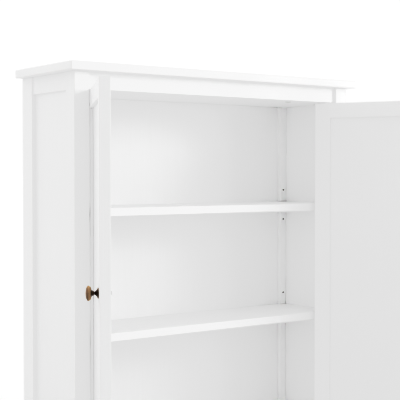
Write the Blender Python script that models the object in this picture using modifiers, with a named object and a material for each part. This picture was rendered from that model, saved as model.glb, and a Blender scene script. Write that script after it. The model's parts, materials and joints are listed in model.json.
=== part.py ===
"""Apothecary cabinet: a standing, white-lacquered cupboard with two framed doors, open on vertical pivot
pins, and two loose shelves on peg supports. Metres, +Z up. The doors stand open, as the joints' rest pose.

Inside the script, an inward distance is measured from a side's outer face, and a Y from the posts' fronts.
"""
import math

import bmesh
import bpy
from mathutils import Matrix, Vector

# Overall sizes.
WIDTH = 0.800
DEPTH = 0.245
HEIGHT = 1.000
FIT = 0.0003

# Top board.
TOP_THICK = 0.019
TOP_SIDE_OVERHANG = 0.017
TOP_FRONT_OVERHANG = 0.018
TOP_REAR_OVERHANG = 0.002

# Front frame.
POST_WIDE = 0.036
POST_DEEP = 0.038
APRON_HIGH = 0.038
APRON_THICK = 0.019
APRON_SETBACK = 0.008
BOTTOM_RAIL_HIGH = 0.038
LEG_HIGH = 0.093
TENON_THICK = 0.009
TENON_LONG = 0.016
TENON_SHOULDER = 0.006

# Sides.
WALL_IN = 0.018
SIDE_RAIL_IN = 0.0025
SIDE_PANEL_IN = 0.008
SIDE_RAIL_HIGH = 0.040
STILE_DEEP = 0.049
TONGUE_THICK = 0.005
TONGUE_LONG = 0.006
BATTEN_WIDE = 0.020
BATTEN_FRONT = 0.214

# Back, ceiling and bottom boards.
BACK_FRONT = 0.225
BACK_THICK = 0.006
BACK_LAP = 0.006
BOARD_THICK = 0.019
BOARD_TONGUE_THICK = 0.008
BOARD_TONGUE_LONG = 0.005
BOARD_TONGUE_START = 0.080

# Shelves and their supports.
SHELF_THICK = 0.019
SHELF_BEHIND_DOORS = 0.0036
SHELF_END_GAP = 0.0005
UPPER_SHELF_DROP = 0.3155
SHELF_STEP = 0.282
PEG_DROP = 0.008
PEG_RADIUS = 0.0022
HOLE_RADIUS = 0.0025
HOLE_DEEP = 0.010
HOLE_PITCH = 0.040
PLATE_THICK = 0.0015
PLATE_WIDE = 0.011
SUPPORT_LEG = 0.014

# Doors.
DOOR_THICK = 0.022
DOOR_SETBACK = 0.007
SWING_CLEARANCE = 0.0006
MEETING_GAP = 0.003
END_GAP = 0.0018
DOOR_STILE_WIDE = 0.040
DOOR_RAIL_HIGH = 0.038
DOOR_PANEL_RECESS = 0.007
DOOR_GROOVE_DEEP = 0.010
PIVOT_INSET = 0.0207
SHORT_OF_STOP = math.radians(4.6)

# Door pivots.
PIN_RADIUS = 0.0025
PIN_IN_DOOR = 0.0175
PIN_IN_BUSH = 0.009
BUSH_RADIUS = 0.0045
BUSH_BORE = 0.00258
BUSH_LONG = 0.0095

# Knobs.
KNOB_FROM_EDGE = 0.025
KNOB_RADIUS = 0.015
KNOB_REACH = 0.0255
KNOB_NECK_RADIUS = 0.004
ROSE_RADIUS = 0.011
ROSE_LONG = 0.008
SCREW_RADIUS = 0.002
SCREW_HEAD_RADIUS = 0.004
SCREW_HEAD_LONG = 0.0025
SCREW_IN_KNOB = 0.009

# Door bumper under the ceiling board.
BUMPER_IN = 0.166
BUMPER_RADIUS = 0.008
BUMPER_HIGH = 0.0038

# Levels and places worked out from the sizes above.
TOP_UNDER = HEIGHT - TOP_THICK
CEILING_UNDER = TOP_UNDER - APRON_HIGH
FLOOR_TOP = LEG_HIGH + BOTTOM_RAIL_HIGH
DOOR_TOP = CEILING_UNDER - END_GAP
DOOR_FOOT = FLOOR_TOP + END_GAP
PIVOT_Y = DOOR_SETBACK + DOOR_THICK / 2
STILE_FRONT = DEPTH - STILE_DEEP
BATTEN_IN = WALL_IN + FIT
BATTEN_EDGE = BATTEN_IN + BATTEN_WIDE
PEG_IN = BATTEN_IN + BATTEN_WIDE / 2
PEG_LEVELS = [HEIGHT - UPPER_SHELF_DROP - SHELF_STEP - PEG_DROP, HEIGHT - UPPER_SHELF_DROP - PEG_DROP]
SHELVES = {"shelf_lower": HEIGHT - UPPER_SHELF_DROP - SHELF_STEP, "shelf_upper": HEIGHT - UPPER_SHELF_DROP}
SIDES = {"left": -1, "right": 1}

# A door's hinge edge swings on this radius, which sets its gap at the post and how far back the shelves start.
TAIL_RADIUS = math.hypot(PIVOT_INSET, DOOR_THICK / 2)
PIVOT_FROM_POST = TAIL_RADIUS + SWING_CLEARANCE
PIVOT_IN = POST_WIDE + PIVOT_FROM_POST
DOOR_WIDE = WIDTH / 2 - PIVOT_IN + PIVOT_INSET - MEETING_GAP / 2
SHELF_FRONT = PIVOT_Y + TAIL_RADIUS + SHELF_BEHIND_DOORS

# A door's outer face meets the post's inner front corner at the stop angle; the doors stand a little short.
CORNER_RADIUS = math.hypot(PIVOT_FROM_POST, PIVOT_Y)
CORNER_BEARING = math.atan2(PIVOT_Y, PIVOT_FROM_POST)
STOP_ANGLE = math.pi - math.asin(DOOR_THICK / 2 / CORNER_RADIUS) - CORNER_BEARING
OPEN_ANGLE = STOP_ANGLE - SHORT_OF_STOP

# The open doors' corners reach furthest forward, so they and the top's rear edge set the middle in Y.
DOOR_REACH = (DOOR_WIDE - PIVOT_INSET) * math.sin(OPEN_ANGLE) - DOOR_THICK / 2 * math.cos(OPEN_ANGLE)
FRONT_LIMIT = PIVOT_Y - DOOR_REACH
POSTS_FRONT = -(FRONT_LIMIT + DEPTH + TOP_REAR_OVERHANG) / 2


def clear_scene():
    for obj in list(bpy.data.objects):
        bpy.data.objects.remove(obj, do_unlink=True)


def new_collection(name):
    collection = bpy.data.collections.new(name)
    bpy.context.scene.collection.children.link(collection)
    return collection


def finish(name, colour, roughness, metallic):
    """A plain Principled finish."""
    made = bpy.data.materials.new(name)
    made.use_nodes = True
    shader = made.node_tree.nodes["Principled BSDF"]
    shader.inputs["Base Color"].default_value = (*colour, 1.0)
    shader.inputs["Roughness"].default_value = roughness
    shader.inputs["Metallic"].default_value = metallic
    return made


def add_object(name, mesh, material, collection, parent=None):
    obj = bpy.data.objects.new(name, mesh)
    collection.objects.link(obj)
    obj.parent = parent
    if material:
        mesh.materials.append(material)
    return obj


def block(name, x, y, z, material=None, parent=None):
    """A squared board between the two limits given for each axis. Without a material it is a cutter."""
    low = Vector((min(x), min(y), min(z)))
    high = Vector((max(x), max(y), max(z)))
    mesh = bpy.data.meshes.new(name)
    shape = bmesh.new()
    bmesh.ops.create_cube(shape, size=1.0)
    bmesh.ops.scale(shape, vec=high - low, verts=shape.verts)
    shape.to_mesh(mesh)
    shape.free()
    obj = add_object(name, mesh, material, cabinet if material else cutters, parent)
    obj.location = (low + high) / 2
    if not material:
        hide(obj)
    return obj


def rod(name, centre, radius, length, axis, material=None, parent=None, steps=24):
    """A round bar along Y or Z. Without a material it is a cutter."""
    mesh = bpy.data.meshes.new(name)
    shape = bmesh.new()
    turn = Matrix.Rotation(math.pi / 2, 4, "X") if axis == "Y" else Matrix()
    bmesh.ops.create_cone(
        shape, cap_ends=True, segments=steps, radius1=radius, radius2=radius, depth=length, matrix=turn
    )
    shape.to_mesh(mesh)
    shape.free()
    obj = add_object(name, mesh, material, cabinet if material else cutters, parent)
    obj.location = centre
    if not material:
        hide(obj)
    return obj


def hide(obj):
    obj.hide_render = True
    obj.display_type = "WIRE"


def combine(obj, other, operation):
    step = obj.modifiers.new(other.name, "BOOLEAN")
    step.operation = operation
    step.solver = "EXACT"
    step.object = other


def cut(obj, cutter):
    combine(obj, cutter, "DIFFERENCE")


def join(obj, helper):
    combine(obj, helper, "UNION")


def turned(name, profile, closed, material, parent=None, steps=32):
    """A turned piece: radius and height pairs, from the low end round to the high, swept round the Z axis."""
    mesh = bpy.data.meshes.new(name)
    shape = bmesh.new()
    points = [shape.verts.new((radius, 0.0, height)) for radius, height in reversed(profile)]
    pairs = list(zip(points, points[1:]))
    if closed:
        pairs.append((points[-1], points[0]))
    for pair in pairs:
        shape.edges.new(pair)
    shape.to_mesh(mesh)
    shape.free()
    obj = add_object(name, mesh, material, cabinet, parent)
    screw = obj.modifiers.new("turn", "SCREW")
    screw.angle = 2 * math.pi
    screw.steps = steps
    screw.render_steps = steps
    screw.use_merge_vertices = True
    screw.merge_threshold = 0.00001
    screw.use_smooth_shade = False
    return obj


def inward(side, *distances):
    """World X of distances measured inward from a side's outer face."""
    return [side * (WIDTH / 2 - distance) for distance in distances]


def back_from_front(*distances):
    """World Y of distances measured back from the posts' front faces."""
    return [POSTS_FRONT + distance for distance in distances]


def between_sides(*distances):
    """World X limits of a piece that runs across the cabinet, ending at the given inward distance."""
    return [-WIDTH / 2 + distances[0], WIDTH / 2 - distances[0]]


def make_top():
    block(
        "top_board",
        between_sides(-TOP_SIDE_OVERHANG),
        back_from_front(-TOP_FRONT_OVERHANG, DEPTH + TOP_REAR_OVERHANG),
        (TOP_UNDER, HEIGHT),
        white,
    )


def make_front_rail(name, low, high, board_middle, socket_level):
    """A rail across the front, tenoned into both posts, grooved for a board's tongue, with pivot sockets."""
    rear = APRON_SETBACK + APRON_THICK
    middle = APRON_SETBACK + APRON_THICK / 2
    rail = block(
        name, between_sides(POST_WIDE + FIT), back_from_front(APRON_SETBACK, rear), (low, high), white
    )
    tenon = block(
        name + "_tenons",
        between_sides(POST_WIDE - TENON_LONG),
        back_from_front(middle - TENON_THICK / 2, middle + TENON_THICK / 2),
        (low + TENON_SHOULDER, high - TENON_SHOULDER),
    )
    join(rail, tenon)
    groove = block(
        name + "_groove",
        between_sides(BOARD_TONGUE_START - FIT),
        back_from_front(rear - BOARD_TONGUE_LONG, rear + POST_DEEP),
        (board_middle - BOARD_TONGUE_THICK / 2 - FIT, board_middle + BOARD_TONGUE_THICK / 2 + FIT),
    )
    cut(rail, groove)
    for word, side in SIDES.items():
        socket = rod(
            f"{name}_socket_{word}",
            (*inward(side, PIVOT_IN), *back_from_front(PIVOT_Y), socket_level),
            BUSH_RADIUS + FIT,
            2 * (BUSH_LONG + FIT),
            "Z",
        )
        cut(rail, socket)


def make_peg_holes(obj, side, face):
    """Two groups of three blind holes in a face that looks along Y, one group for each shelf."""
    hole = rod(
        f"{obj.name}_holes",
        (*inward(side, PEG_IN), *back_from_front(face), PEG_LEVELS[0] - HOLE_PITCH),
        HOLE_RADIUS,
        2 * HOLE_DEEP,
        "Y",
        steps=16,
    )
    group = hole.modifiers.new("group", "ARRAY")
    group.count = 3
    group.use_relative_offset = False
    group.use_constant_offset = True
    group.constant_offset_displace = (0.0, 0.0, HOLE_PITCH)
    shelf = hole.modifiers.new("shelf", "ARRAY")
    shelf.count = 2
    shelf.use_relative_offset = False
    shelf.use_constant_offset = True
    shelf.constant_offset_displace = (0.0, 0.0, SHELF_STEP)
    cut(obj, hole)


def make_side(word, side):
    tongue_middle = (SIDE_PANEL_IN + WALL_IN) / 2
    groove_x = inward(side, tongue_middle - TONGUE_THICK / 2 - FIT, tongue_middle + TONGUE_THICK / 2 + FIT)
    tongue_x = inward(side, tongue_middle - TONGUE_THICK / 2, tongue_middle + TONGUE_THICK / 2)
    groove_z = (LEG_HIGH, TOP_UNDER)

    post = block(
        f"front_post_{word}",
        inward(side, 0.0, POST_WIDE),
        back_from_front(0.0, POST_DEEP),
        (0.0, TOP_UNDER - FIT),
        white,
    )
    front_groove = block(
        f"post_groove_{word}",
        groove_x,
        back_from_front(POST_DEEP - TONGUE_LONG - FIT, POST_DEEP + TONGUE_LONG),
        groove_z,
    )
    cut(post, front_groove)
    middle = APRON_SETBACK + APRON_THICK / 2
    for label, low, high in (
        ("apron", CEILING_UNDER, TOP_UNDER),
        ("rail", LEG_HIGH, FLOOR_TOP),
    ):
        mortise = block(
            f"{label}_mortise_{word}",
            inward(side, POST_WIDE - TENON_LONG - FIT, POST_WIDE + TENON_LONG),
            back_from_front(middle - TENON_THICK / 2 - FIT, middle + TENON_THICK / 2 + FIT),
            (low + TENON_SHOULDER - 2 * FIT, high - TENON_SHOULDER + FIT),
        )
        cut(post, mortise)
    make_peg_holes(post, side, POST_DEEP)

    stile = block(
        f"rear_stile_{word}",
        inward(side, 0.0, WALL_IN),
        back_from_front(STILE_FRONT, DEPTH),
        (0.0, TOP_UNDER - FIT),
        white,
    )
    rear_groove = block(
        f"stile_groove_{word}",
        groove_x,
        back_from_front(STILE_FRONT - TONGUE_LONG, STILE_FRONT + TONGUE_LONG + FIT),
        groove_z,
    )
    cut(stile, rear_groove)
    back_rail_mortise = block(
        f"back_rail_mortise_{word}",
        inward(side, WALL_IN - WALL_IN / 2 - FIT, WALL_IN + WALL_IN / 2),
        back_from_front(*back_tenon_limits(FIT)),
        (CEILING_UNDER + TENON_SHOULDER - FIT, TOP_UNDER - TENON_SHOULDER + FIT),
    )
    cut(stile, back_rail_mortise)

    for label, low, high in (
        ("top", TOP_UNDER - SIDE_RAIL_HIGH, TOP_UNDER - FIT),
        ("bottom", LEG_HIGH, LEG_HIGH + SIDE_RAIL_HIGH),
    ):
        rail = block(
            f"side_rail_{label}_{word}",
            inward(side, SIDE_RAIL_IN, WALL_IN),
            back_from_front(POST_DEEP + FIT, STILE_FRONT - FIT),
            (low, high),
            white,
        )
        tenons = block(
            f"side_rail_{label}_tenons_{word}",
            tongue_x,
            back_from_front(POST_DEEP - TONGUE_LONG, STILE_FRONT + TONGUE_LONG),
            (low + FIT, high - FIT),
        )
        join(rail, tenons)
        edge = high if label == "bottom" else low
        groove = block(
            f"side_rail_{label}_groove_{word}",
            groove_x,
            back_from_front(0.0, DEPTH),
            (edge - TONGUE_LONG - FIT, edge + TONGUE_LONG + FIT),
        )
        cut(rail, groove)

    panel_low = LEG_HIGH + SIDE_RAIL_HIGH + FIT
    panel_high = TOP_UNDER - SIDE_RAIL_HIGH - FIT
    panel = block(
        f"side_panel_{word}",
        inward(side, SIDE_PANEL_IN, WALL_IN),
        back_from_front(POST_DEEP + FIT, STILE_FRONT - FIT),
        (panel_low, panel_high),
        white,
    )
    tongue = block(
        f"side_panel_tongue_{word}",
        tongue_x,
        back_from_front(POST_DEEP - TONGUE_LONG + FIT, STILE_FRONT + TONGUE_LONG - FIT),
        (panel_low - TONGUE_LONG + FIT, panel_high + TONGUE_LONG - FIT),
    )
    join(panel, tongue)

    batten = block(
        f"rear_batten_{word}",
        inward(side, BATTEN_IN, BATTEN_EDGE),
        back_from_front(BATTEN_FRONT, DEPTH),
        (0.0, CEILING_UNDER - FIT),
        white,
    )
    back_groove = block(
        f"batten_groove_{word}",
        inward(side, BATTEN_EDGE - BACK_LAP, BATTEN_EDGE + BACK_LAP),
        back_from_front(BACK_FRONT - FIT, BACK_FRONT + BACK_THICK + FIT),
        (FLOOR_TOP - BACK_LAP - FIT, CEILING_UNDER + BACK_LAP),
    )
    cut(batten, back_groove)
    batten_mortise = block(
        f"batten_mortise_{word}",
        inward(side, BATTEN_EDGE - BATTEN_WIDE / 2 - FIT, BATTEN_EDGE + BATTEN_WIDE / 2),
        back_from_front(*back_tenon_limits(FIT)),
        (LEG_HIGH + TENON_SHOULDER - FIT, FLOOR_TOP - 2 * TENON_SHOULDER + FIT),
    )
    cut(batten, batten_mortise)
    make_peg_holes(batten, side, BATTEN_FRONT)


def back_tenon_limits(slack):
    """Front and rear faces of the back rails' tenons, behind the rebate for the back panel."""
    front = BACK_FRONT + BACK_THICK + 2 * FIT
    return front - slack, front + TENON_THICK + slack


def make_back():
    rail_rear = DEPTH - FIT
    top_rail = block(
        "back_rail_top",
        between_sides(WALL_IN + FIT),
        back_from_front(BACK_FRONT, rail_rear),
        (CEILING_UNDER, TOP_UNDER - FIT),
        white,
    )
    top_tenons = block(
        "back_rail_top_tenons",
        between_sides(WALL_IN / 2),
        back_from_front(*back_tenon_limits(0.0)),
        (CEILING_UNDER + TENON_SHOULDER, TOP_UNDER - TENON_SHOULDER),
    )
    join(top_rail, top_tenons)
    top_rebate = block(
        "back_rail_top_rebate",
        between_sides(BATTEN_EDGE - BACK_LAP - FIT),
        back_from_front(0.0, BACK_FRONT + BACK_THICK + FIT),
        (0.0, CEILING_UNDER + BACK_LAP + FIT),
    )
    cut(top_rail, top_rebate)

    bottom_rail = block(
        "back_rail_bottom",
        between_sides(BATTEN_EDGE + FIT),
        back_from_front(BACK_FRONT, rail_rear),
        (LEG_HIGH, FLOOR_TOP),
        white,
    )
    bottom_tenons = block(
        "back_rail_bottom_tenons",
        between_sides(BATTEN_EDGE - BATTEN_WIDE / 2),
        back_from_front(*back_tenon_limits(0.0)),
        (LEG_HIGH + TENON_SHOULDER, FLOOR_TOP - 2 * TENON_SHOULDER),
    )
    join(bottom_rail, bottom_tenons)
    bottom_rebate = block(
        "back_rail_bottom_rebate",
        between_sides(0.0),
        back_from_front(0.0, BACK_FRONT + BACK_THICK + FIT),
        (FLOOR_TOP - BACK_LAP - FIT, HEIGHT),
    )
    cut(bottom_rail, bottom_rebate)

    block(
        "back_panel",
        between_sides(BATTEN_EDGE - BACK_LAP + FIT),
        back_from_front(BACK_FRONT, BACK_FRONT + BACK_THICK),
        (FLOOR_TOP - BACK_LAP, CEILING_UNDER + BACK_LAP),
        white,
    )


def make_board(name, low, notch_battens):
    """The ceiling or bottom board: tongued into the front rail, notched round the posts and battens."""
    front = APRON_SETBACK + APRON_THICK
    board = block(
        name,
        between_sides(WALL_IN + FIT),
        back_from_front(front + FIT, BACK_FRONT - FIT),
        (low, low + BOARD_THICK),
        white,
    )
    middle = low + BOARD_THICK / 2
    tongue = block(
        name + "_tongue",
        between_sides(BOARD_TONGUE_START),
        back_from_front(front - BOARD_TONGUE_LONG + FIT, POST_DEEP),
        (middle - BOARD_TONGUE_THICK / 2, middle + BOARD_TONGUE_THICK / 2),
    )
    join(board, tongue)
    for word, side in SIDES.items():
        post_notch = block(
            f"{name}_post_notch_{word}",
            inward(side, 0.0, POST_WIDE + FIT),
            back_from_front(0.0, POST_DEEP + FIT),
            (low - BOARD_THICK, low + 2 * BOARD_THICK),
        )
        cut(board, post_notch)
        if notch_battens:
            batten_notch = block(
                f"{name}_batten_notch_{word}",
                inward(side, 0.0, BATTEN_EDGE + FIT),
                back_from_front(BATTEN_FRONT - FIT, DEPTH),
                (low - BOARD_THICK, low + 2 * BOARD_THICK),
            )
            cut(board, batten_notch)


def make_shelf(name, top):
    shelf = block(
        name,
        between_sides(WALL_IN + SHELF_END_GAP),
        back_from_front(SHELF_FRONT, BACK_FRONT - SHELF_END_GAP),
        (top - SHELF_THICK, top),
        white,
    )
    for word, side in SIDES.items():
        notch = block(
            f"{name}_notch_{word}",
            inward(side, 0.0, BATTEN_EDGE + SHELF_END_GAP),
            back_from_front(BATTEN_FRONT - PLATE_THICK - 3 * FIT, DEPTH),
            (top - 2 * SHELF_THICK, top + SHELF_THICK),
        )
        cut(shelf, notch)


def make_support(name, side, face, out, shelf_top):
    """A pressed support: a peg in a hole, a plate down the face and a leg under the shelf. out is its way."""
    plate_x = inward(side, PEG_IN - PLATE_WIDE / 2, PEG_IN + PLATE_WIDE / 2)
    near = face + out * FIT
    leg_top = shelf_top - SHELF_THICK - FIT
    peg_level = shelf_top - PEG_DROP
    support = block(
        name,
        plate_x,
        back_from_front(near, near + out * PLATE_THICK),
        (leg_top - PLATE_THICK, peg_level + PLATE_WIDE / 2 - PEG_RADIUS),
        steel,
    )
    leg = block(
        name + "_leg",
        plate_x,
        back_from_front(near, near + out * SUPPORT_LEG),
        (leg_top - PLATE_THICK, leg_top),
    )
    join(support, leg)
    peg_end = face - out * (HOLE_DEEP - 3 * FIT)
    peg_start = near + out * PLATE_THICK / 2
    peg = rod(
        name + "_peg",
        (*inward(side, PEG_IN), *back_from_front((peg_end + peg_start) / 2), peg_level),
        PEG_RADIUS,
        abs(peg_end - peg_start),
        "Y",
        steps=16,
    )
    join(support, peg)


def make_pivot_bush(name, side, base):
    profile = [
        (BUSH_BORE, 0.0),
        (BUSH_RADIUS, 0.0),
        (BUSH_RADIUS, BUSH_LONG),
        (BUSH_BORE, BUSH_LONG),
    ]
    bush = turned(name, profile, True, brass, steps=24)
    bush.location = (*inward(side, PIVOT_IN), *back_from_front(PIVOT_Y), base)


def make_door(word, side):
    """One door, built closed round an empty on its pivot line, which is then turned to the open angle."""
    axis = bpy.data.objects.new(f"door_axis_{word}", None)
    cabinet.objects.link(axis)
    axis.location = (*inward(side, PIVOT_IN), *back_from_front(PIVOT_Y), 0.0)

    def along(*distances):
        return [side * (PIVOT_INSET - distance) for distance in distances]

    def through(*distances):
        return [distance - DOOR_THICK / 2 for distance in distances]

    panel_faces = (DOOR_PANEL_RECESS, DOOR_THICK - DOOR_PANEL_RECESS)
    groove_faces = through(panel_faces[0] - FIT, panel_faces[1] + FIT)
    free_start = DOOR_WIDE - DOOR_STILE_WIDE
    whole_height = (DOOR_FOOT, DOOR_TOP)

    hinge_stile = block(
        f"door_hinge_stile_{word}", along(0.0, DOOR_STILE_WIDE), through(0.0, DOOR_THICK), whole_height, white,
        axis,
    )
    hinge_groove = block(
        f"hinge_stile_groove_{word}",
        along(DOOR_STILE_WIDE - DOOR_GROOVE_DEEP, DOOR_STILE_WIDE + DOOR_GROOVE_DEEP),
        groove_faces,
        (0.0, HEIGHT),
        parent=axis,
    )
    cut(hinge_stile, hinge_groove)
    meeting_stile = block(
        f"door_meeting_stile_{word}", along(free_start, DOOR_WIDE), through(0.0, DOOR_THICK), whole_height,
        white, axis,
    )
    meeting_groove = block(
        f"meeting_stile_groove_{word}",
        along(free_start - DOOR_GROOVE_DEEP, free_start + DOOR_GROOVE_DEEP),
        groove_faces,
        (0.0, HEIGHT),
        parent=axis,
    )
    cut(meeting_stile, meeting_groove)

    rail_ends = along(DOOR_STILE_WIDE + FIT, free_start - FIT)
    tenon_ends = along(
        DOOR_STILE_WIDE - DOOR_GROOVE_DEEP + FIT, free_start + DOOR_GROOVE_DEEP - FIT
    )
    for label, low, high, edge in (
        ("top", DOOR_TOP - DOOR_RAIL_HIGH, DOOR_TOP, DOOR_TOP - DOOR_RAIL_HIGH),
        ("bottom", DOOR_FOOT, DOOR_FOOT + DOOR_RAIL_HIGH, DOOR_FOOT + DOOR_RAIL_HIGH),
    ):
        rail = block(
            f"door_{label}_rail_{word}", rail_ends, through(0.0, DOOR_THICK), (low, high), white, axis
        )
        tenons = block(
            f"door_{label}_rail_tenons_{word}",
            tenon_ends,
            through(*panel_faces),
            (low + FIT, high - FIT),
            parent=axis,
        )
        join(rail, tenons)
        groove = block(
            f"door_{label}_rail_groove_{word}",
            along(0.0, DOOR_WIDE),
            groove_faces,
            (edge - DOOR_GROOVE_DEEP, edge + DOOR_GROOVE_DEEP),
            parent=axis,
        )
        cut(rail, groove)

    lap = DOOR_GROOVE_DEEP - 2 * FIT
    block(
        f"door_panel_{word}",
        along(DOOR_STILE_WIDE - lap, free_start + lap),
        through(*panel_faces),
        (DOOR_FOOT + DOOR_RAIL_HIGH - lap, DOOR_TOP - DOOR_RAIL_HIGH + lap),
        white,
        axis,
    )

    for label, door_end, out in (("top", DOOR_TOP, 1), ("bottom", DOOR_FOOT, -1)):
        socket = rod(
            f"pin_socket_{label}_{word}",
            (0.0, 0.0, door_end),
            PIN_RADIUS + FIT,
            2 * (PIN_IN_DOOR + FIT),
            "Z",
            parent=axis,
        )
        cut(hinge_stile, socket)
        pin_long = PIN_IN_DOOR + END_GAP + PIN_IN_BUSH
        rod(
            f"pivot_pin_{label}_{word}",
            (0.0, 0.0, door_end + out * (pin_long / 2 - PIN_IN_DOOR)),
            PIN_RADIUS,
            pin_long,
            "Z",
            steel,
            axis,
        )

    knob_place = (along(DOOR_WIDE - KNOB_FROM_EDGE)[0], (DOOR_FOOT + DOOR_TOP) / 2)
    screw_hole = rod(
        f"knob_hole_{word}",
        (knob_place[0], 0.0, knob_place[1]),
        SCREW_RADIUS + FIT,
        2 * DOOR_THICK,
        "Y",
        parent=axis,
        steps=16,
    )
    cut(meeting_stile, screw_hole)
    make_knob(word, axis, knob_place)

    axis.rotation_euler.z = side * OPEN_ANGLE


def make_knob(word, axis, place):
    """A turned knob on its rose, held by a machine screw from the door's inner face."""
    bore = SCREW_RADIUS + FIT
    outer_face = -DOOR_THICK / 2
    rose_profile = [
        (bore, FIT),
        (ROSE_RADIUS, FIT),
        (ROSE_RADIUS, 0.0012),
        (ROSE_RADIUS - 0.0012, 0.0024),
        (ROSE_RADIUS - 0.0044, 0.0034),
        (ROSE_RADIUS - 0.0058, 0.0052),
        (ROSE_RADIUS - 0.0064, ROSE_LONG),
        (bore, ROSE_LONG),
    ]
    rose = turned(f"knob_rose_{word}", rose_profile, True, brass, axis)
    rose.location = (place[0], outer_face, place[1])
    rose.rotation_euler.x = math.pi / 2

    base = ROSE_LONG + FIT
    bore_end = base + SCREW_IN_KNOB
    knob_profile = [
        (0.0, bore_end),
        (bore, bore_end),
        (bore, base),
        (KNOB_NECK_RADIUS, base),
        (KNOB_NECK_RADIUS, base + 0.0028),
        (KNOB_NECK_RADIUS + 0.0022, base + 0.0042),
        (KNOB_RADIUS - 0.0034, base + 0.0064),
        (KNOB_RADIUS - 0.0006, base + 0.0088),
        (KNOB_RADIUS, base + 0.0110),
        (KNOB_RADIUS - 0.0012, base + 0.0134),
        (KNOB_RADIUS - 0.0046, base + 0.0156),
        (KNOB_RADIUS - 0.0094, base + 0.0168),
        (0.0, KNOB_REACH),
    ]
    knob = turned(f"knob_{word}", knob_profile, False, brass, axis)
    knob.location = (place[0], outer_face, place[1])
    knob.rotation_euler.x = math.pi / 2

    head = SCREW_HEAD_LONG
    shank = DOOR_THICK + base + SCREW_IN_KNOB - 3 * FIT
    screw_profile = [
        (0.0, -head),
        (SCREW_HEAD_RADIUS - 0.0010, -head),
        (SCREW_HEAD_RADIUS, -head + 0.0010),
        (SCREW_HEAD_RADIUS, -FIT),
        (SCREW_RADIUS, -FIT),
        (SCREW_RADIUS, shank),
        (0.0, shank),
    ]
    screw = turned(f"knob_screw_{word}", screw_profile, False, brass, axis, steps=16)
    screw.location = (place[0], DOOR_THICK / 2, place[1])
    screw.rotation_euler.x = math.pi / 2


def make_bumper():
    """A soft dome under the ceiling board, which the closed right door rests against."""
    radius = BUMPER_RADIUS
    profile = [
        (0.0, -BUMPER_HIGH),
        (radius * 0.5, -BUMPER_HIGH * 0.97),
        (radius * 0.86, -BUMPER_HIGH * 0.82),
        (radius, -BUMPER_HIGH * 0.55),
        (radius, -FIT),
        (0.0, -FIT),
    ]
    bumper = turned("door_bumper", profile, False, rubber, steps=24)
    door_inner = DOOR_SETBACK + DOOR_THICK
    bumper.location = (
        *inward(1, BUMPER_IN),
        *back_from_front(door_inner + FIT + radius),
        CEILING_UNDER,
    )


clear_scene()
cabinet = new_collection("apothecary_cabinet")
cutters = new_collection("cutters")
cutters.hide_render = True
white = finish("white_lacquered_wood", (0.84, 0.84, 0.82), 0.38, 0.0)
brass = finish("antique_brass", (0.20, 0.12, 0.06), 0.36, 1.0)
steel = finish("zinc_plated_steel", (0.62, 0.63, 0.64), 0.32, 1.0)
rubber = finish("dark_rubber", (0.06, 0.055, 0.05), 0.75, 0.0)

make_top()
make_front_rail(
    "front_apron", CEILING_UNDER, TOP_UNDER - FIT, CEILING_UNDER + BOARD_THICK / 2, CEILING_UNDER
)
make_front_rail("front_rail_bottom", LEG_HIGH, FLOOR_TOP, FLOOR_TOP - BOARD_THICK / 2, FLOOR_TOP)
for word, side in SIDES.items():
    make_side(word, side)
make_back()
make_board("ceiling_board", CEILING_UNDER, False)
make_board("bottom_board", FLOOR_TOP - BOARD_THICK, True)
for shelf_name, shelf_top in SHELVES.items():
    make_shelf(shelf_name, shelf_top)
    for word, side in SIDES.items():
        make_support(f"{shelf_name}_support_front_{word}", side, POST_DEEP, 1, shelf_top)
        make_support(f"{shelf_name}_support_rear_{word}", side, BATTEN_FRONT, -1, shelf_top)
for word, side in SIDES.items():
    make_door(word, side)
    make_pivot_bush(f"pivot_bush_top_{word}", side, CEILING_UNDER)
    make_pivot_bush(f"pivot_bush_bottom_{word}", side, FLOOR_TOP - BUSH_LONG)
make_bumper()
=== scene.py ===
"""Apothecary cabinet: the looks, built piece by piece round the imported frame. Metres, +Z up."""
import json
import math

import bmesh
import bpy
from mathutils import Matrix, Vector


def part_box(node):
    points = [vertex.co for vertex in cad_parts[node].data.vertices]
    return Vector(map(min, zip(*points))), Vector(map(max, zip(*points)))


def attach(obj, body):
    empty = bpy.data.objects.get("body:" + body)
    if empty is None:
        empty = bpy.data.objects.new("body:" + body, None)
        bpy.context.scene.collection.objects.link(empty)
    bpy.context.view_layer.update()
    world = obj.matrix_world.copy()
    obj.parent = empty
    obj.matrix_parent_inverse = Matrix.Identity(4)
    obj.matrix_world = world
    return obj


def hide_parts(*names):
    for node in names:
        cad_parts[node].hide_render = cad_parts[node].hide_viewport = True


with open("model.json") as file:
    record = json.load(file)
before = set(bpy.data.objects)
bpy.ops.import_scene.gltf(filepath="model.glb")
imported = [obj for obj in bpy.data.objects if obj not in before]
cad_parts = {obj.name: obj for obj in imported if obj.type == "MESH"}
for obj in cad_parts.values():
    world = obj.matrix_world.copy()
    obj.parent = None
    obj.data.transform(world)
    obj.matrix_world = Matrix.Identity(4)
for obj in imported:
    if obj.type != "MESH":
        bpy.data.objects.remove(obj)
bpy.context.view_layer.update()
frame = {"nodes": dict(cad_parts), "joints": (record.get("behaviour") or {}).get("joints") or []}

# Front posts. Two square posts of planed birch that stand on the floor and carry the top board.
# Each is drilled from behind for the shelf supports' pegs, sanded round at its arrises, and sprayed
# with the rest of the carcass in white satin lacquer.
SIDES = {"left": -1, "right": 1}
FACES = {
    "left": (0, 0), "front": (0, 1), "foot": (0, 2), "right": (1, 0), "rear": (1, 1), "head": (1, 2),
}
ARRIS = 0.0012
NEAR = 0.001
PEG_BELOW_PLATE_TOP = 0.0033
PEG_HOLE_PITCH = 0.040
PEG_HOLE_RADIUS = 0.0025
PEG_HOLE_DEEP = 0.010
CUT_INSIDE = 0.0025


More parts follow.
